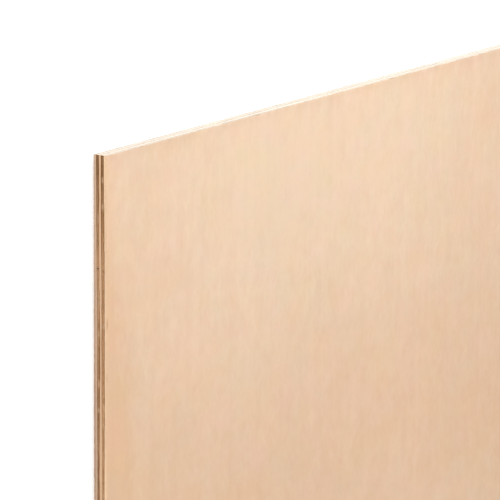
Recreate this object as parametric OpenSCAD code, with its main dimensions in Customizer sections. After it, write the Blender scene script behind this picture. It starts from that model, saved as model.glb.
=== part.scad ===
// Five-ply plywood sheet, lying flat with its face veneer up.
// The origin is at the centre of the underside: X across the sheet, Y along its face grain, Z up.
// The plies are glued face to face, so each one starts where the one below it ends.

/* [Sheet] */
// Length of the sheet, along the grain of its faces
sheet_length = 2440; // [600:5:3050]
// Width of the sheet, across the grain of its faces
sheet_width = 1220; // [300:5:1525]

/* [Plies] */
// Thickness of the back veneer, the lowest ply
back_veneer_t = 2.3; // [0.6:0.1:4]
// Thickness of the crossband glued to the back veneer
back_crossband_t = 2.8; // [1:0.1:4]
// Thickness of the centre ply, whose grain runs along the sheet
centre_ply_t = 1.8; // [1:0.1:4]
// Thickness of the crossband glued under the face veneer
face_crossband_t = 2.8; // [1:0.1:4]
// Thickness of the face veneer, the highest ply
face_veneer_t = 2.3; // [0.6:0.1:4]

/* [Hidden] */

// Height of each ply's underside above the underside of the sheet
back_crossband_z = back_veneer_t;
centre_ply_z = back_crossband_z + back_crossband_t;
face_crossband_z = centre_ply_z + centre_ply_t;
face_veneer_z = face_crossband_z + face_crossband_t;

long_grain_colour = [0.89, 0.73, 0.58];
centre_colour = [0.82, 0.65, 0.49];
end_grain_colour = [0.62, 0.44, 0.29];

// One ply: a plain board the full size of the sheet, centred on the origin, from height z up
module ply(z, thickness) {
    translate([-sheet_width / 2, -sheet_length / 2, z])
        cube([sheet_width, sheet_length, thickness]);
}

module back_veneer() {
    color(long_grain_colour) ply(0, back_veneer_t);
}

module back_crossband() {
    color(end_grain_colour) ply(back_crossband_z, back_crossband_t);
}

module centre_ply() {
    color(centre_colour) ply(centre_ply_z, centre_ply_t);
}

module face_crossband() {
    color(end_grain_colour) ply(face_crossband_z, face_crossband_t);
}

module face_veneer() {
    color(long_grain_colour) ply(face_veneer_z, face_veneer_t);
}

back_veneer();
back_crossband();
centre_ply();
face_crossband();
face_veneer();
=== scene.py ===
import math
import random

import bmesh
import bpy
from mathutils import Matrix, Vector, noise


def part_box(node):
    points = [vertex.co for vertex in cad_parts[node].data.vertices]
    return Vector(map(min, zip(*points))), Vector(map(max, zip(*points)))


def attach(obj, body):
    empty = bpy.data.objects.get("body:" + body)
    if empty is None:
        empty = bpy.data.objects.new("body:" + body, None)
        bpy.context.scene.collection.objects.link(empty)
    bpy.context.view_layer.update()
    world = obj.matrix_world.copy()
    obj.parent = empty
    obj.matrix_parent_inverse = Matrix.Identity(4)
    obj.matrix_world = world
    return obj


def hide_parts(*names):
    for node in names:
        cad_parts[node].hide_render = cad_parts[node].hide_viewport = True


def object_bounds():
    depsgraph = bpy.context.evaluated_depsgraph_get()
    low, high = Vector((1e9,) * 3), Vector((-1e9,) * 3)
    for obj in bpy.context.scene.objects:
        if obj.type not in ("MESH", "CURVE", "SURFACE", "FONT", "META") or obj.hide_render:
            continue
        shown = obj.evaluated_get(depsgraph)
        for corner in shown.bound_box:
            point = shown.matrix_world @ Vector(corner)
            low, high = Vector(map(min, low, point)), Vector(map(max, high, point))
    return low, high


# A five-ply plywood sheet lying flat with its face veneer up. Its left edge is the long edge at -X, and
# its far end is the end at +Y. Each ply is a closed piece of its own, with the relief that sawing and wear
# leave along its edges.

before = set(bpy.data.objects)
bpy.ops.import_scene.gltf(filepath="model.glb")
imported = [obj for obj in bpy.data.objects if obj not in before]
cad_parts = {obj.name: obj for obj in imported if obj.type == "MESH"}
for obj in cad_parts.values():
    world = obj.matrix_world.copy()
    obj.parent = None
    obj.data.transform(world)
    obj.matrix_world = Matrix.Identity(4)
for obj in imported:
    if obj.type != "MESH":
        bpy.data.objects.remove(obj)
cad_low, cad_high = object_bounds()

MM = 0.001

HALF_WIDTH = cad_high.x
HALF_LENGTH = cad_high.y

# The plies from the back up. The grain of the crossbands runs across the sheet, and the others' along it.
PLIES = ["back_veneer", "back_crossband", "centre_ply", "face_crossband", "face_veneer"]
CROSSBANDS = {"back_crossband", "face_crossband"}
LEVELS = [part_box(node)[0].z for node in PLIES] + [cad_high.z]

LONG_EDGES = ("-x", "+x")
ENDS = ("-y", "+y")

# ---------------------------------------------------------------- relief of the sawn edges

COLUMN = 2 * MM           # spacing of the vertices along an edge
RIM = 14 * MM             # how far in from the edge the relief reaches
CORNER = 16 * MM          # stretch beside a corner over which the rim turns
RIM_STEPS = (0.04, 0.3, 1.0)            # the rim's rings, as shares of the rim
WALL_STEPS = (0.0, 0.1, 0.5, 0.9, 1.0)  # the rows up a ply's edge, as shares of its thickness
FIELD = 0.25              # size of the fields that a flat face is cut into

# Ripples of the edges, as (height, waves to the metre, seed)
SHARED_WANDER = (1.0 * MM, 4, 4417)  # the glue lines together
OWN_WANDER = (0.8 * MM, 12, 0)       # each glue line by itself
FINE_WANDER = (0.25 * MM, 110, 20)   # the short ripples of each glue line
SAW_WAVE = (0.084 * MM, 6, 3)        # the slow waves that the saw leaves
SAW_CHATTER = (0.036 * MM, 90, 4)    # the short ones
ARRIS_WEAR = (0.22 * MM, 170, 5)     # the wear of the outer arrises
TORN_GRAIN = (0.25 * MM, 240, 30)    # the torn end grain

OWN_SEEDS = (290, 1591, 3424, 5702)  # of the glue lines, from the back up
BULGE_DEPTH = 0.0875 * MM            # how much deeper the middle of a ply's end grain lies
WEAR_REACH = 1 / 6                   # share of a ply's thickness over which its arris's wear fades out
SHARP_ANGLE = math.radians(35)       # past which two faces meet in a sharp edge

# Smallest and largest sizes of the marks that are strewn along the edges
TEAR_HALF_LENGTHS = (2.2 * MM, 5.2 * MM)
TEAR_DEPTHS = (0.2 * MM, 0.7 * MM)
CHIP_HALF_LENGTHS = (2.4 * MM, 5.9 * MM)
CHIP_DEPTHS = (0.3 * MM, 1.1 * MM)
CHIP_DROPS = (0.2 * MM, 0.9 * MM)
JOINT_HALF_WIDTHS = (0.12 * MM, 0.6 * MM)
JOINT_DEPTHS = (2.5 * MM, 6 * MM)
JOINT_SLOPE = 0.12 * MM   # run of an open joint's side from the surface to its depth

rng = random.Random(12)


def ripple(x, y, wave, more=0.0):
    """Smooth noise from about minus to plus half the wave's height. more is added to its seed."""
    height, per_metre, seed = wave
    return height * noise.noise(Vector((x * per_metre, y * per_metre, (seed + more) * 7.31 + 0.5)))


def swell(x, y, wave):
    """The same noise from 0 to about the wave's height."""
    return max(0.0, 0.5 * wave[0] + ripple(x, y, wave))


def glue_line(level, x, y):
    """Height of the glue line above that many plies. The outer faces are flat."""
    if level in (0, len(PLIES)):
        return LEVELS[level]
    return (LEVELS[level]
            + ripple(x, y, SHARED_WANDER)
            + ripple(x, y, OWN_WANDER, OWN_SEEDS[level - 1])
            + ripple(x, y, FINE_WANDER, level))


def between(sizes, share):
    """The size at that share of the way from the smallest to the largest."""
    return sizes[0] + (sizes[1] - sizes[0]) * share


class Notch:
    """A stretch of an edge where wood is missing."""

    def __init__(self, place, half_length, depth, drop):
        self.x, self.y = place
        self.half_length = half_length
        self.depth = depth
        self.drop = drop

    def share(self, x, y):
        """1 in its middle, 0 at its ends and beyond."""
        away = (abs(x - self.x) + abs(y - self.y)) / self.half_length
        return max(0.0, 1.0 - away * away)


def along(side, distance):
    """The point of the outline at a distance from the middle of a side."""
    if side in LONG_EDGES:
        return (math.copysign(HALF_WIDTH, float(side[0] + "1")), distance)
    return (distance, math.copysign(HALF_LENGTH, float(side[0] + "1")))


def half_side(side):
    return HALF_LENGTH if side in LONG_EDGES else HALF_WIDTH


def tear_outs(sides, per_metre):
    """Small hollows where splinters left the cut end grain of one ply."""
    tears = []
    for side in sides:
        reach = half_side(side) - CORNER
        for _ in range(round(2 * reach * per_metre)):
            size = rng.random() ** 2
            place = along(side, rng.uniform(-reach, reach))
            tears.append(Notch(place, between(TEAR_HALF_LENGTHS, size), between(TEAR_DEPTHS, size), 0.0))
    return tears


def arris_chips(per_metre_long, per_metre_end):
    """Small chips off one outer arris. The ends, cut across the grain, splinter more."""
    chips = []
    for side in LONG_EDGES + ENDS:
        per_metre = per_metre_long if side in LONG_EDGES else per_metre_end
        reach = half_side(side) - CORNER
        for _ in range(round(2 * reach * per_metre)):
            size = rng.random() ** 2
            place = along(side, rng.uniform(-reach, reach))
            chips.append(Notch(place, between(CHIP_HALF_LENGTHS, size), between(CHIP_DEPTHS, size),
                               between(CHIP_DROPS, size)))
    return chips


def butt_joints(spacing):
    """Where two strips of a crossband meet, as (distance from the sheet's middle, half width, depth)."""
    reach = HALF_LENGTH - 2 * CORNER
    joints, at = [], -reach + rng.uniform(0.1, 0.6) * spacing
    while at < reach:
        joints.append((at, rng.uniform(*JOINT_HALF_WIDTHS), rng.uniform(*JOINT_DEPTHS)))
        at += spacing * rng.uniform(0.5, 1.5)
    return joints


def outline(bm):
    """The sheet's outline as a closed wire, with a vertex every COLUMN."""
    turned = Matrix.Rotation(math.pi / 4, 4, "Z")
    bmesh.ops.create_circle(bm, segments=4, radius=math.sqrt(2), matrix=turned)
    bmesh.ops.scale(bm, vec=(HALF_WIDTH, HALF_LENGTH, 1), verts=bm.verts)
    for edge in list(bm.edges):
        cuts = round(edge.calc_length() / COLUMN) - 1
        bmesh.ops.subdivide_edges(bm, edges=[edge], cuts=cuts)
    return list(bm.edges)


def open_joint(bm, side, distance, half_width, depth, gap):
    """Moves the four columns nearest a butt joint to its two sides, and gives the inner two its depth."""
    axis = 1 if side in LONG_EDGES else 0
    here = Vector((*along(side, distance), 0))
    near = sorted((v for v in bm.verts if abs(v.co[1 - axis] - here[1 - axis]) < MM),
                  key=lambda v: abs(v.co[axis] - distance))[:4]
    near.sort(key=lambda v: v.co[axis])
    outer = half_width + JOINT_SLOPE
    for v, offset in zip(near, (-outer, -half_width, half_width, outer)):
        v.co[axis] = distance + offset
    near[1][gap] = near[2][gap] = depth


def extruded(bm, edges, rise, inset, shares):
    """Extrudes the ring of edges once and notes where the new ring belongs."""
    grown = bmesh.ops.extrude_edge_only(bm, edges=edges)["geom"]
    for v in (g for g in grown if isinstance(g, bmesh.types.BMVert)):
        v[rise] = shares[0]
        v[inset] = shares[1]
    return [g for g in grown if isinstance(g, bmesh.types.BMEdge)]


def inward(x, y):
    """The way in from the outline: square to a side, and turning to the diagonal at a corner."""
    into = [0.0, 0.0]
    for axis, (at, half) in enumerate(((x, HALF_WIDTH), (y, HALF_LENGTH))):
        turn = max(0.0, (abs(at) - (half - CORNER)) / CORNER)
        into[axis] = -math.copysign(turn, at)
    return into


def notched(chips, x, y):
    """(depth, drop, share) of the chip at this point of the outline."""
    best = (0.0, 0.0, 0.0)
    for chip in chips:
        share = chip.share(x, y)
        if share > best[2]:
            best = (chip.depth * share, chip.drop * share, share)
    return best


def shell(bm, joints, layers):
    """Rings from the lower face's rim up the wall to the upper face's. Returns the first and the last."""
    rise, inset, gap, _ = layers
    first = outline(bm)
    for side, distance, half_width, depth in joints:
        open_joint(bm, side, distance, half_width, depth, gap)
    for v in bm.verts:
        v[inset] = RIM_STEPS[-1]
    stations = [(0.0, step) for step in reversed(RIM_STEPS[:-1])]
    stations += [(step, 0.0) for step in WALL_STEPS]
    stations += [(1.0, step) for step in RIM_STEPS]
    last = first
    for shares in stations:
        last = extruded(bm, last, rise, inset, shares)
    return first, last


def relief(bm, number, chips, tears, layers):
    """Moves the vertices to where laying up, sawing and wear leave them."""
    rise, inset, gap, torn = layers
    low, high = (corner.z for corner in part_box(PLIES[number]))
    is_crossband = PLIES[number] in CROSSBANDS
    outer_rise = {0: 0.0, len(PLIES) - 1: 1.0}.get(number)
    columns = {}
    for v in bm.verts:
        x, y = v.co.x, v.co.y
        if (x, y) not in columns:
            columns[x, y] = (inward(x, y), swell(x, y, SAW_WAVE) + swell(x, y, SAW_CHATTER),
                             glue_line(number, x, y), glue_line(number + 1, x, y),
                             notched(chips, x, y), notched(tears, x, y))
        into, depth, lower, upper, chip, (tear_depth, _, tear_share) = columns[x, y]
        chip_depth, chip_drop, chip_share = chip
        across_grain = is_crossband == (abs(x) > HALF_WIDTH - MM)
        if across_grain:
            bulge = math.sin(math.pi * v[rise])
            depth += max(0.0, ripple(x, y, TORN_GRAIN, number + v[rise]))
            depth += (BULGE_DEPTH + tear_depth) * bulge
            v[torn] = tear_share * bulge * (1 - v[inset])
        depth += v[gap]
        lower += (low - lower) * v[inset]
        upper += (high - upper) * v[inset]
        z = lower + (upper - lower) * v[rise]
        ring = RIM * v[inset]
        if outer_rise is not None:
            near = max(0.0, 1.0 - abs(v[rise] - outer_rise) / WEAR_REACH)
            at_arris = v[rise] == outer_rise
            into_sheet = 1 if outer_rise == 0.0 else -1
            wear = swell(x, y, ARRIS_WEAR)
            if v[inset] == 0.0:
                depth += near * (wear + 0.5 * chip_depth)
                if at_arris:
                    z += into_sheet * (wear + chip_drop)
                v[torn] = near * chip_share
            elif at_arris:
                ring += chip_depth * (1 - v[inset])
                v[torn] = chip_share * (1 - v[inset])
        inner = depth + (1 - depth / RIM) * ring
        v.co = (x + into[0] * inner, y + into[1] * inner, z)


def divide(bm, faces):
    """Cuts a flat face into fields, so that no triangle spans the whole sheet. The cuts miss the columns."""
    for axis, half in ((0, HALF_WIDTH), (1, HALF_LENGTH)):
        normal = Vector((0, 0, 0))
        normal[axis] = 1
        count = round(2 * half / FIELD)
        for k in range(1, count):
            place = Vector((0, 0, 0))
            place[axis] = -half + 2 * half * k / count + 0.3 * COLUMN
            edges = {edge for face in faces for edge in face.edges}
            corners = {v for face in faces for v in face.verts}
            cut = bmesh.ops.bisect_plane(bm, geom=[*faces, *edges, *corners], dist=1e-6,
                                         plane_co=place, plane_no=normal)["geom"]
            faces = [g for g in cut if isinstance(g, bmesh.types.BMFace)]


def sawn_ply(number, chips, tears, joints):
    """One ply as a closed mesh: a wall of rows up its edge, a rim on each face, and flat faces within."""
    bm = bmesh.new()
    layers = [bm.verts.layers.float.new(name) for name in ("rise", "inset", "gap", "torn")]
    first, last = shell(bm, joints, layers)
    relief(bm, number, chips, tears, layers)
    for ring in (first, last):
        divide(bm, bmesh.ops.contextual_create(bm, geom=ring)["faces"])
    bmesh.ops.recalc_face_normals(bm, faces=bm.faces)
    inset = layers[1]
    for face in bm.faces:
        face.smooth = True
        if all(v[inset] == 0.0 for v in face.verts):
            face.material_index = 1 if abs(face.normal.x) > abs(face.normal.y) else 2
    for edge in bm.edges:
        edge.smooth = edge.calc_face_angle(0.0) < SHARP_ANGLE
    name = PLIES[number] + "_sawn"
    mesh = bpy.data.meshes.new(name)
    bm.to_mesh(mesh)
    bm.free()
    piece = bpy.data.objects.new(name, mesh)
    bpy.context.scene.collection.objects.link(piece)
    return piece


# ---------------------------------------------------------------- shader expressions

class Shade:
    """A socket of a material's nodes. Arithmetic on it adds Math nodes."""

    def __init__(self, tree, socket=None):
        self.tree = tree
        self.socket = socket

    def node(self, kind, settings, sockets, output=0):
        """Adds a node, sets it up, gives its sockets values or links, and returns one of its outputs."""
        made = self.tree.nodes.new(kind)
        for name, value in settings.items():
            setattr(made, name, value)
        for name, value in sockets.items():
            if isinstance(value, Shade):
                self.tree.links.new(value.socket, made.inputs[name])
            else:
                made.inputs[name].default_value = value
        return Shade(self.tree, made.outputs[output] if made.outputs else None)

    def math(self, operation, a, b=0.0):
        return self.node("ShaderNodeMath", {"operation": operation}, {0: a, 1: b})

    def __add__(self, other):
        return self.math("ADD", self, other)

    def __sub__(self, other):
        return self.math("SUBTRACT", self, other)

    def __rsub__(self, other):
        return self.math("SUBTRACT", other, self)

    def __mul__(self, other):
        return self.math("MULTIPLY", self, other)

    def __abs__(self):
        return self.math("ABSOLUTE", self)

    __radd__ = __add__
    __rmul__ = __mul__

    def stretched(self, x, y, z):
        """This vector with each axis multiplied."""
        return self.node("ShaderNodeVectorMath", {"operation": "MULTIPLY"}, {0: self, 1: (x, y, z)})

    def moved(self, other):
        """This vector plus another."""
        return self.node("ShaderNodeVectorMath", {"operation": "ADD"}, {0: self, 1: other})

    def axis(self, letter):
        return self.node("ShaderNodeSeparateXYZ", {}, {0: self}, output=letter)

    def vector(self, x, y, z):
        return self.node("ShaderNodeCombineXYZ", {}, {"X": x, "Y": y, "Z": z})

    def waves(self, x, y, z, detail=2.0, roughness=0.5, seed=0.0):
        """Noise centred on 0 whose waves are that long along the three axes."""
        place = self.stretched(1 / x, 1 / y, 1 / z)
        if seed:
            place = place.moved((0.0, 0.0, seed))
        sockets = {"Vector": place, "Scale": 1.0, "Detail": detail, "Roughness": roughness}
        return self.node("ShaderNodeTexNoise", {}, sockets) - 0.5

    def ramp(self, low, high):
        """0 up to low, 1 from high on, and smooth between."""
        sockets = {"Value": self, "From Min": low, "From Max": high}
        return self.node("ShaderNodeMapRange", {"interpolation_type": "SMOOTHSTEP"}, sockets)

    def mixed(self, a, b):
        """Colour a where this is 0 and b where it is 1."""
        return self.node("ShaderNodeMix", {"data_type": "RGBA"}, {0: self, 6: a, 7: b}, output=2)

    def times(self, colour):
        """This colour multiplied by another."""
        return self.node("ShaderNodeMix", {"data_type": "RGBA", "blend_type": "MULTIPLY"},
                         {0: 1.0, 6: self, 7: colour}, output=2)

    def tinted(self, colour):
        """colour multiplied by this value."""
        return self.node("ShaderNodeCombineColor", {}, {0: self, 1: self, 2: self}).times(colour)


def new_material(name):
    material = bpy.data.materials.new(name)
    material.use_nodes = True
    material.node_tree.nodes.clear()
    return material, Shade(material.node_tree)


def coated(shade, colour, roughness, height, specular=0.5, glow=0.0):
    """Makes a colour, a roughness and a height in metres the material's surface. Glow is its own light."""
    normal = shade.node("ShaderNodeBump", {}, {"Strength": 1.0, "Distance": 1.0, "Height": height})
    sockets = {"Base Color": colour, "Roughness": roughness, "Normal": normal,
               "Specular IOR Level": specular, "Emission Strength": glow}
    surface = shade.node("ShaderNodeBsdfPrincipled", {}, sockets)
    shade.node("ShaderNodeOutputMaterial", {}, {"Surface": surface})


# ---------------------------------------------------------------- finishes of the wood

# Wood colours are linear red, green and blue.
FACE_PALE = (0.526, 0.393, 0.279, 1)
FACE_WARM = (0.511, 0.356, 0.241, 1)
FACE_HONEY = (0.498, 0.325, 0.203, 1)
BACK_PALE = (0.510, 0.365, 0.245, 1)
BACK_WARM = (0.460, 0.310, 0.195, 1)
BACK_HONEY = (0.430, 0.280, 0.165, 1)
YELLOW_TINGE = (1.0, 1.0, 0.935, 1)  # what the yellower spots of a face multiply its colour by
ROSY_TINGE = (1.03, 0.982, 1.0, 1)   # and what the rosier ones do

NEAR_SIDE = 50 * MM       # width of the strip by a side whose tone changes along it
NEAR_END = 250 * MM       # distance from an end over which that tone changes
SIDE_BORDER = 18 * MM     # widths of the yellowed borders by the sides and the ends
END_BORDER = 22 * MM
DARK_END_STRIP = 9 * MM           # width of the darker strip by the ends
LIGHT_SIDE_STRIP = 10 * MM        # width of the lighter strip by the sides
RINGS = 24                # growth rings over the range of their noise

# Seeds of the patterns
AGE_SEED = 2235           # the broad changes from fresh wood to yellowed wood
TONE_SEED = 814           # the broad changes of brightness
FIGURE_SEED = 1988.37     # where the growth rings show
RING_SEED = 3.7           # the growth rings
ROSY_SEED = 31.37         # the rosier spots
LOWER_DARK_SEED = 6453.37      # where the edge darkens towards its lower arris
CROSS_SEED = 94.37        # the broad changes of tone along the crossbands' edges
GLUE_SEED = 5484.37       # where glue shows at the crossbands' edges


def laid(shade, crosswise=False):
    """Object coordinates, with X and Y exchanged in a ply that is laid crosswise."""
    place = shade.node("ShaderNodeTexCoord", {}, {}, output="Object")
    if crosswise:
        place = shade.vector(place.axis("Y"), place.axis("X"), place.axis("Z"))
    return place


def grained(shade, crosswise):
    """The same coordinates, bent a little as fibres are. The grain runs along Y."""
    place = laid(shade, crosswise)
    bend = 0.05 * place.waves(0.6, 1.1, 1, 1) + 0.004 * place.waves(0.07, 0.3, 1, 1)
    return place.moved(shade.vector(bend, 0.0, 0.0))


def sanded_veneer(name, crosswise, pale, warm, honey, contrast=1.0, seed=0.0):
    """A sanded face of rotary-cut veneer: broad tones, growth rings, soft bands, flecks and pores."""
    material, shade = new_material(name)
    place = grained(shade, crosswise)
    age = place.waves(0.5, 0.5, 1, 1, seed=AGE_SEED + seed)
    tone = place.waves(0.25, 0.3, 1, 1, seed=TONE_SEED + seed)
    figured = place.waves(0.5, 1.1, 1, 1, seed=FIGURE_SEED + seed).ramp(-0.02, 0.12)
    field = place.waves(0.30, 1.7, 1, 2, 0.45, seed=RING_SEED + seed)
    field = field + 0.006 * place.waves(4 * MM, 0.09, 1, 2)
    ring = shade.math("FRACT", RINGS * field)
    latewood = figured * ring.ramp(0.3, 0.85) * (1 - ring.ramp(0.9, 1.0))
    streaks = place.waves(0.010, 0.35, 1, 3, 0.6)
    yellow = place.waves(0.045, 0.04, 1, 3, 0.65)
    rosy = place.waves(0.05, 0.045, 1, 3, 0.8, seed=ROSY_SEED)
    bands = place.waves(0.025, 0.06, 1, 2)
    mottle = place.waves(0.011, 0.018, 1, 2)
    flecks = place.waves(3.9 * MM, 8 * MM, 1, 2, 0.5)
    pores = place.waves(0.5 * MM, 5 * MM, 1, 1).ramp(0.10, 0.22)
    half_across, half_along = (HALF_LENGTH, HALF_WIDTH) if crosswise else (HALF_WIDTH, HALF_LENGTH)
    from_side = half_across - abs(place.axis("X"))
    from_end = half_along - abs(place.axis("Y"))
    near_side = 1 - from_side.ramp(0.0, NEAR_SIDE)
    border = (1 - from_side.ramp(0.0, SIDE_BORDER)) + 0.4 * (1 - from_end.ramp(0.0, END_BORDER))
    # The face is darker in a narrow strip along the ends.
    dark_end_strip = 1 - from_end.ramp(0.0, DARK_END_STRIP)
    # The face is lighter in a narrow strip along the sides.
    light_side_strip = 1 - from_side.ramp(0.0, LIGHT_SIDE_STRIP)
    shine = (1 - 0.05 * dark_end_strip + 0.035 * light_side_strip
             + contrast * (0.05 * streaks + 0.045 * bands - 0.06 * latewood + 0.07 * mottle
                           + 0.052 * flecks - 0.03 * pores))
    warmth = (1.02 + 5.1 * age + 0.75 * border + near_side * (2.4 * from_end.ramp(0.0, NEAR_END) - 0.42)
              + 0.6 * latewood - 0.3 * streaks - 0.7 * bands - 1.2 * mottle - 0.6 * flecks)
    colour = (warmth - 1).mixed(warmth.mixed(pale, warm), honey)
    colour = (0.5 + 4.2 * yellow).mixed(colour, colour.times(YELLOW_TINGE))
    colour = (0.5 + 5 * rosy).mixed(colour, colour.times(ROSY_TINGE))
    height = (0.02 * MM) * flecks - (0.02 * MM) * pores + (0.05 * MM) * mottle
    coated(shade, (shine - 0.08 * tone).tinted(colour), 0.54 + 0.2 * mottle + 0.12 * pores, height)
    return material


def edge_wood(name, crosswise):
    """A new material with its coordinates, its height within the ply from 0 to 1, and where it is torn."""
    material, shade = new_material(name)
    place = laid(shade, crosswise)
    rise = shade.node("ShaderNodeAttribute", {"attribute_name": "rise"}, {}, output="Fac")
    torn = shade.node("ShaderNodeAttribute", {"attribute_name": "torn"}, {}, output="Fac")
    return material, shade, place, rise, torn


def beside_glue(rise, lower, upper):
    """1 at a ply's lower and upper glue lines, falling to 0 over those shares of its thickness."""
    below = 1 - rise.ramp(0.4 * lower, lower) if lower else 0.0
    above = rise.ramp(1 - upper, 1 - 0.4 * upper) if upper else 0.0
    return below + above


def sawn_along(name, crosswise, wood, dark, worn, lower=0.2, upper=0.2, lower_darkening=0.0):
    """The edge of a ply sawn along its grain: growth layers as fine lines, and patches that darken towards
    its lower arris.
    """
    material, shade, place, rise, torn = edge_wood(name, crosswise)
    layers = place.waves(0.05, 0.05, 0.5 * MM, 3, 0.6)
    slow = place.waves(0.06, 0.06, 8 * MM, 2)
    short = place.waves(3 * MM, 3 * MM, 2 * MM, 2)
    saw = place.waves(2.4 * MM, 2.4 * MM, 20 * MM, 0)
    tone = 1 + 0.30 * layers + 0.25 * slow + 0.16 * short + 0.05 * saw
    glue = beside_glue(rise, lower, upper) * (0.55 + 1.5 * slow + 1.2 * short)
    colour = glue.mixed(wood, dark)
    if lower_darkening:
        # Darker in patches towards the lower arris, fading out over most of the ply's thickness.
        lower_patches = place.waves(0.15, 0.15, 1, 1, seed=LOWER_DARK_SEED).ramp(-0.08, 0.07)
        colour = (lower_darkening * lower_patches * (1 - rise.ramp(0.0, 0.9))).mixed(colour, dark)
    colour = torn.mixed(tone.tinted(colour), worn)
    height = (0.07 * MM) * layers + (0.05 * MM) * saw + (0.10 * MM) * short
    coated(shade, colour, 0.66 + 0.25 * short, height, 0.3)
    return material


def sawn_across(name, crosswise, wood, light, dark, worn, lower=0.28, upper=0.28):
    material, shade, place, rise, torn = edge_wood(name, crosswise)
    patches = place.waves(0.022, 0.022, 3 * MM, 3, 0.6)
    slow = place.waves(0.11, 0.11, 5 * MM, 1, seed=CROSS_SEED)
    short = place.waves(3.5 * MM, 3.5 * MM, 1.6 * MM, 2)
    pores = place.waves(0.5 * MM, 0.5 * MM, 0.5 * MM, 1)
    lean = place.axis("Z") * 1.3
    checks = place.moved(shade.vector(lean, lean, 0.0)).waves(1.9 * MM, 1.9 * MM, 1, 0).ramp(0.12, 0.2)
    checks = checks * rise.ramp(0.1, 0.5)
    tone = 1 + 0.60 * patches + 0.15 * slow + 0.55 * short + 0.20 * pores - 0.16 * checks
    spread = place.waves(0.14, 0.14, 4 * MM, 1, seed=GLUE_SEED)
    glue = beside_glue(rise, lower, upper) * (0.68 + 2.6 * spread + 1.6 * patches + 0.8 * short)
    colour = (0.4 + 2.4 * patches + 1.6 * slow).mixed(wood, light)
    colour = (-2.4 * slow).mixed(colour, dark)
    colour = glue.mixed(colour, dark)
    colour = (0.7 * torn).mixed(tone.tinted(colour), worn)
    height = (0.12 * MM) * pores + (0.2 * MM) * short - (0.2 * MM) * checks
    coated(shade, colour, 0.8 + 0.2 * short, height, 0.15)
    return material


FACE_EDGE = (0.550, 0.372, 0.235, 1)
BACK_EDGE = (0.434, 0.295, 0.200, 1)
CENTRE_EDGE = (0.470, 0.292, 0.172, 1)
LONG_GLUE = (0.240, 0.130, 0.065, 1)
CROSS_EDGE = (0.277, 0.143, 0.061, 1)
CROSS_LIGHT = (0.337, 0.192, 0.100, 1)
CROSS_GLUE = (0.095, 0.036, 0.009, 1)
END_GRAIN = (0.485, 0.415, 0.340, 1)
END_LIGHT = (0.520, 0.440, 0.355, 1)
END_LONG = (0.530, 0.475, 0.415, 1)
END_GLUE = (0.410, 0.340, 0.270, 1)
TORN = (0.440, 0.290, 0.175, 1)

face_sanded = sanded_veneer("sanded_face", False, FACE_PALE, FACE_WARM, FACE_HONEY)
back_sanded = sanded_veneer("sanded_back", False, BACK_PALE, BACK_WARM, BACK_HONEY,
                            contrast=1.8, seed=5.0)
hidden_cross = sanded_veneer("crossband_flat", True, BACK_PALE, BACK_WARM, BACK_HONEY,
                             contrast=1.8, seed=9.0)
face_edge = sawn_along("face_veneer_long_edge", False, FACE_EDGE, LONG_GLUE, TORN,
                       lower=0.12, upper=0)
back_edge = sawn_along("back_veneer_long_edge", False, BACK_EDGE, LONG_GLUE, TORN,
                       lower=0, upper=0.12, lower_darkening=0.6)
centre_edge = sawn_along("centre_ply_long_edge", False, CENTRE_EDGE, LONG_GLUE, TORN,
                         lower=0.15, upper=0.15)
cross_edge = sawn_across("crossband_long_edge", False, CROSS_EDGE, CROSS_LIGHT, CROSS_GLUE, TORN)
veneer_end = sawn_across("veneer_end", True, END_GRAIN, END_LIGHT, END_GLUE, TORN)
cross_end = sawn_along("crossband_end", True, END_LONG, END_GLUE, TORN)

FINISHES = {
    "back_veneer": (back_sanded, back_edge, veneer_end),
    "back_crossband": (hidden_cross, cross_edge, cross_end),
    "centre_ply": (back_sanded, centre_edge, veneer_end),
    "face_crossband": (hidden_cross, cross_edge, cross_end),
    "face_veneer": (face_sanded, face_edge, veneer_end),
}

# ---------------------------------------------------------------- the plies

# Marks of the left long edge, by their distance from the far end
# Chips off the face, as (distance, half length, depth, drop)
CHIPS_FROM_END = ((129.5 * MM, 4.5 * MM, 1.2 * MM, 1.3 * MM), (172 * MM, 3.0 * MM, 0.7 * MM, 0.6 * MM))
# Open joints, as (distance, half width, depth)
JOINTS_FROM_END = {"back_crossband": ((87 * MM, 0.25 * MM, 2 * MM),)}
# Torn spots, as (distance, half length, depth)
TEARS_FROM_END = {
    "back_crossband": ((197 * MM, 3 * MM, 0.5 * MM),),
    "face_crossband": ((19 * MM, 3 * MM, 0.5 * MM),
                       (131 * MM, 2.2 * MM, 0.3 * MM),
                       (194 * MM, 3 * MM, 0.5 * MM)),
}
TEARS_PER_METRE = 9
JOINT_SPACING = 0.45      # mean distance between the open joints of a crossband

face_chips = arris_chips(per_metre_long=5, per_metre_end=14)
for from_end, half_length, depth, drop in CHIPS_FROM_END:
    face_chips.append(Notch((-HALF_WIDTH, HALF_LENGTH - from_end), half_length, depth, drop))
back_chips = arris_chips(per_metre_long=6, per_metre_end=16)

for number, node in enumerate(PLIES):
    chips = {0: back_chips, len(PLIES) - 1: face_chips}.get(number, [])
    joints = [("-x", HALF_LENGTH - from_end, half_width, depth)
              for from_end, half_width, depth in JOINTS_FROM_END.get(node, ())]
    if node in CROSSBANDS:
        for distance, half_width, depth in butt_joints(JOINT_SPACING):
            joints += [(side, distance, half_width, depth) for side in LONG_EDGES]
    tears = tear_outs(LONG_EDGES if node in CROSSBANDS else ENDS, TEARS_PER_METRE)
    for from_end, half_length, depth in TEARS_FROM_END.get(node, ()):
        tears.append(Notch((-HALF_WIDTH, HALF_LENGTH - from_end), half_length, depth, 0.0))
    ply = sawn_ply(number, chips, tears, joints)
    for material in FINISHES[node]:
        ply.data.materials.append(material)
    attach(ply, "root")
    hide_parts(node)

# ---------------------------------------------------------------- floor, light and camera

FLOOR_RADIUS = 60.0
FLOOR_DROP = 0.1 * MM
FLOOR_GLOW = 0.15         # the floor is lit a little from beneath, as a light table is

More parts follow.
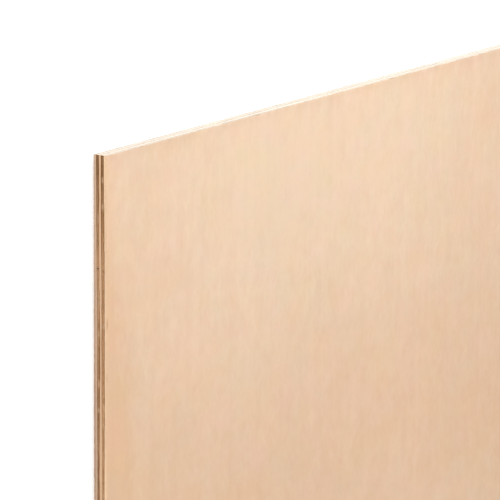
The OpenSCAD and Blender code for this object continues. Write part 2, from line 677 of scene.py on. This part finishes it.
bm = bmesh.new()
bmesh.ops.create_circle(bm, segments=64, radius=FLOOR_RADIUS, cap_ends=True)
bmesh.ops.translate(bm, vec=(0, 0, -FLOOR_DROP), verts=bm.verts)
floor_mesh = bpy.data.meshes.new("floor")
bm.to_mesh(floor_mesh)
bm.free()
floor = bpy.data.objects.new("floor", floor_mesh)
bpy.context.scene.collection.objects.link(floor)
material, shade = new_material("pale_floor")
cloudy = laid(shade).waves(0.3, 0.3, 0.3)
coated(shade, (0.9, 0.9, 0.9, 1), 0.9 + 0.05 * cloudy, (0.01 * MM) * cloudy, 0.2, FLOOR_GLOW)
floor_mesh.materials.append(material)

world = bpy.data.worlds.new("studio")
world.use_nodes = True
world.node_tree.nodes["Background"].inputs["Color"].default_value = (1, 1, 1, 1)
world.node_tree.nodes["Background"].inputs["Strength"].default_value = 1.0
bpy.context.scene.world = world
bpy.context.scene.view_settings.view_transform = "Standard"


def softbox(name, place, target, size, watts):
    """A square area lamp turned towards a point, and unseen by the camera."""
    lamp = bpy.data.lights.new(name, "AREA")
    lamp.size = size
    lamp.energy = watts
    lit = bpy.data.objects.new(name, lamp)
    lit.location = place
    lit.rotation_mode = "QUATERNION"
    lit.rotation_quaternion = (Vector(place) - Vector(target)).to_track_quat("Z", "Y")
    lit.visible_camera = False
    bpy.context.scene.collection.objects.link(lit)


corner = Vector((-HALF_WIDTH, HALF_LENGTH, cad_high.z))
softbox("key", corner + Vector((0.4, 0.8, 0.7)), corner + Vector((0.4, -0.2, 0)), size=0.8, watts=13)
softbox("fill", corner + Vector((-2.4, -0.6, 0.5)), corner, size=1.6, watts=26)
softbox("near_key", Vector((0.5, -HALF_LENGTH - 0.8, 1.0)), Vector((0.2, -0.6, 0)), size=1.0, watts=16)

VIEW_AZIMUTH = math.radians(15.3)   # of the camera, from straight off the left edge towards the far end
VIEW_ELEVATION = math.radians(31.65)
VIEW_ROLL = math.radians(0.58)
FOCAL_WIDTHS = 6.0                  # the focal length over the sensor's width
CORNER_DISTANCE = 2.220             # of the far left corner from the camera, along its axis
CORNER_PLACE = (-0.2867, 0.1882)    # of that corner from the middle of the view, over the view's width

camera = bpy.data.cameras.new("camera")
camera.sensor_width = 36.0
camera.lens = FOCAL_WIDTHS * camera.sensor_width
back = Vector((-math.cos(VIEW_ELEVATION) * math.cos(VIEW_AZIMUTH),
               math.cos(VIEW_ELEVATION) * math.sin(VIEW_AZIMUTH),
               math.sin(VIEW_ELEVATION)))
lengthwise = Vector((0, 1, 0))
up = (lengthwise - back * back.dot(lengthwise)).normalized()
right = up.cross(back)
right, up = (right * math.cos(VIEW_ROLL) + up * math.sin(VIEW_ROLL),
             up * math.cos(VIEW_ROLL) - right * math.sin(VIEW_ROLL))
view_width = CORNER_DISTANCE / FOCAL_WIDTHS
place = (corner + back * CORNER_DISTANCE
         - right * CORNER_PLACE[0] * view_width - up * CORNER_PLACE[1] * view_width)
viewer = bpy.data.objects.new("camera", camera)
viewer.matrix_world = Matrix.Translation(place) @ Matrix((right, up, back)).transposed().to_4x4()
bpy.context.scene.collection.objects.link(viewer)
bpy.context.scene.camera = viewer
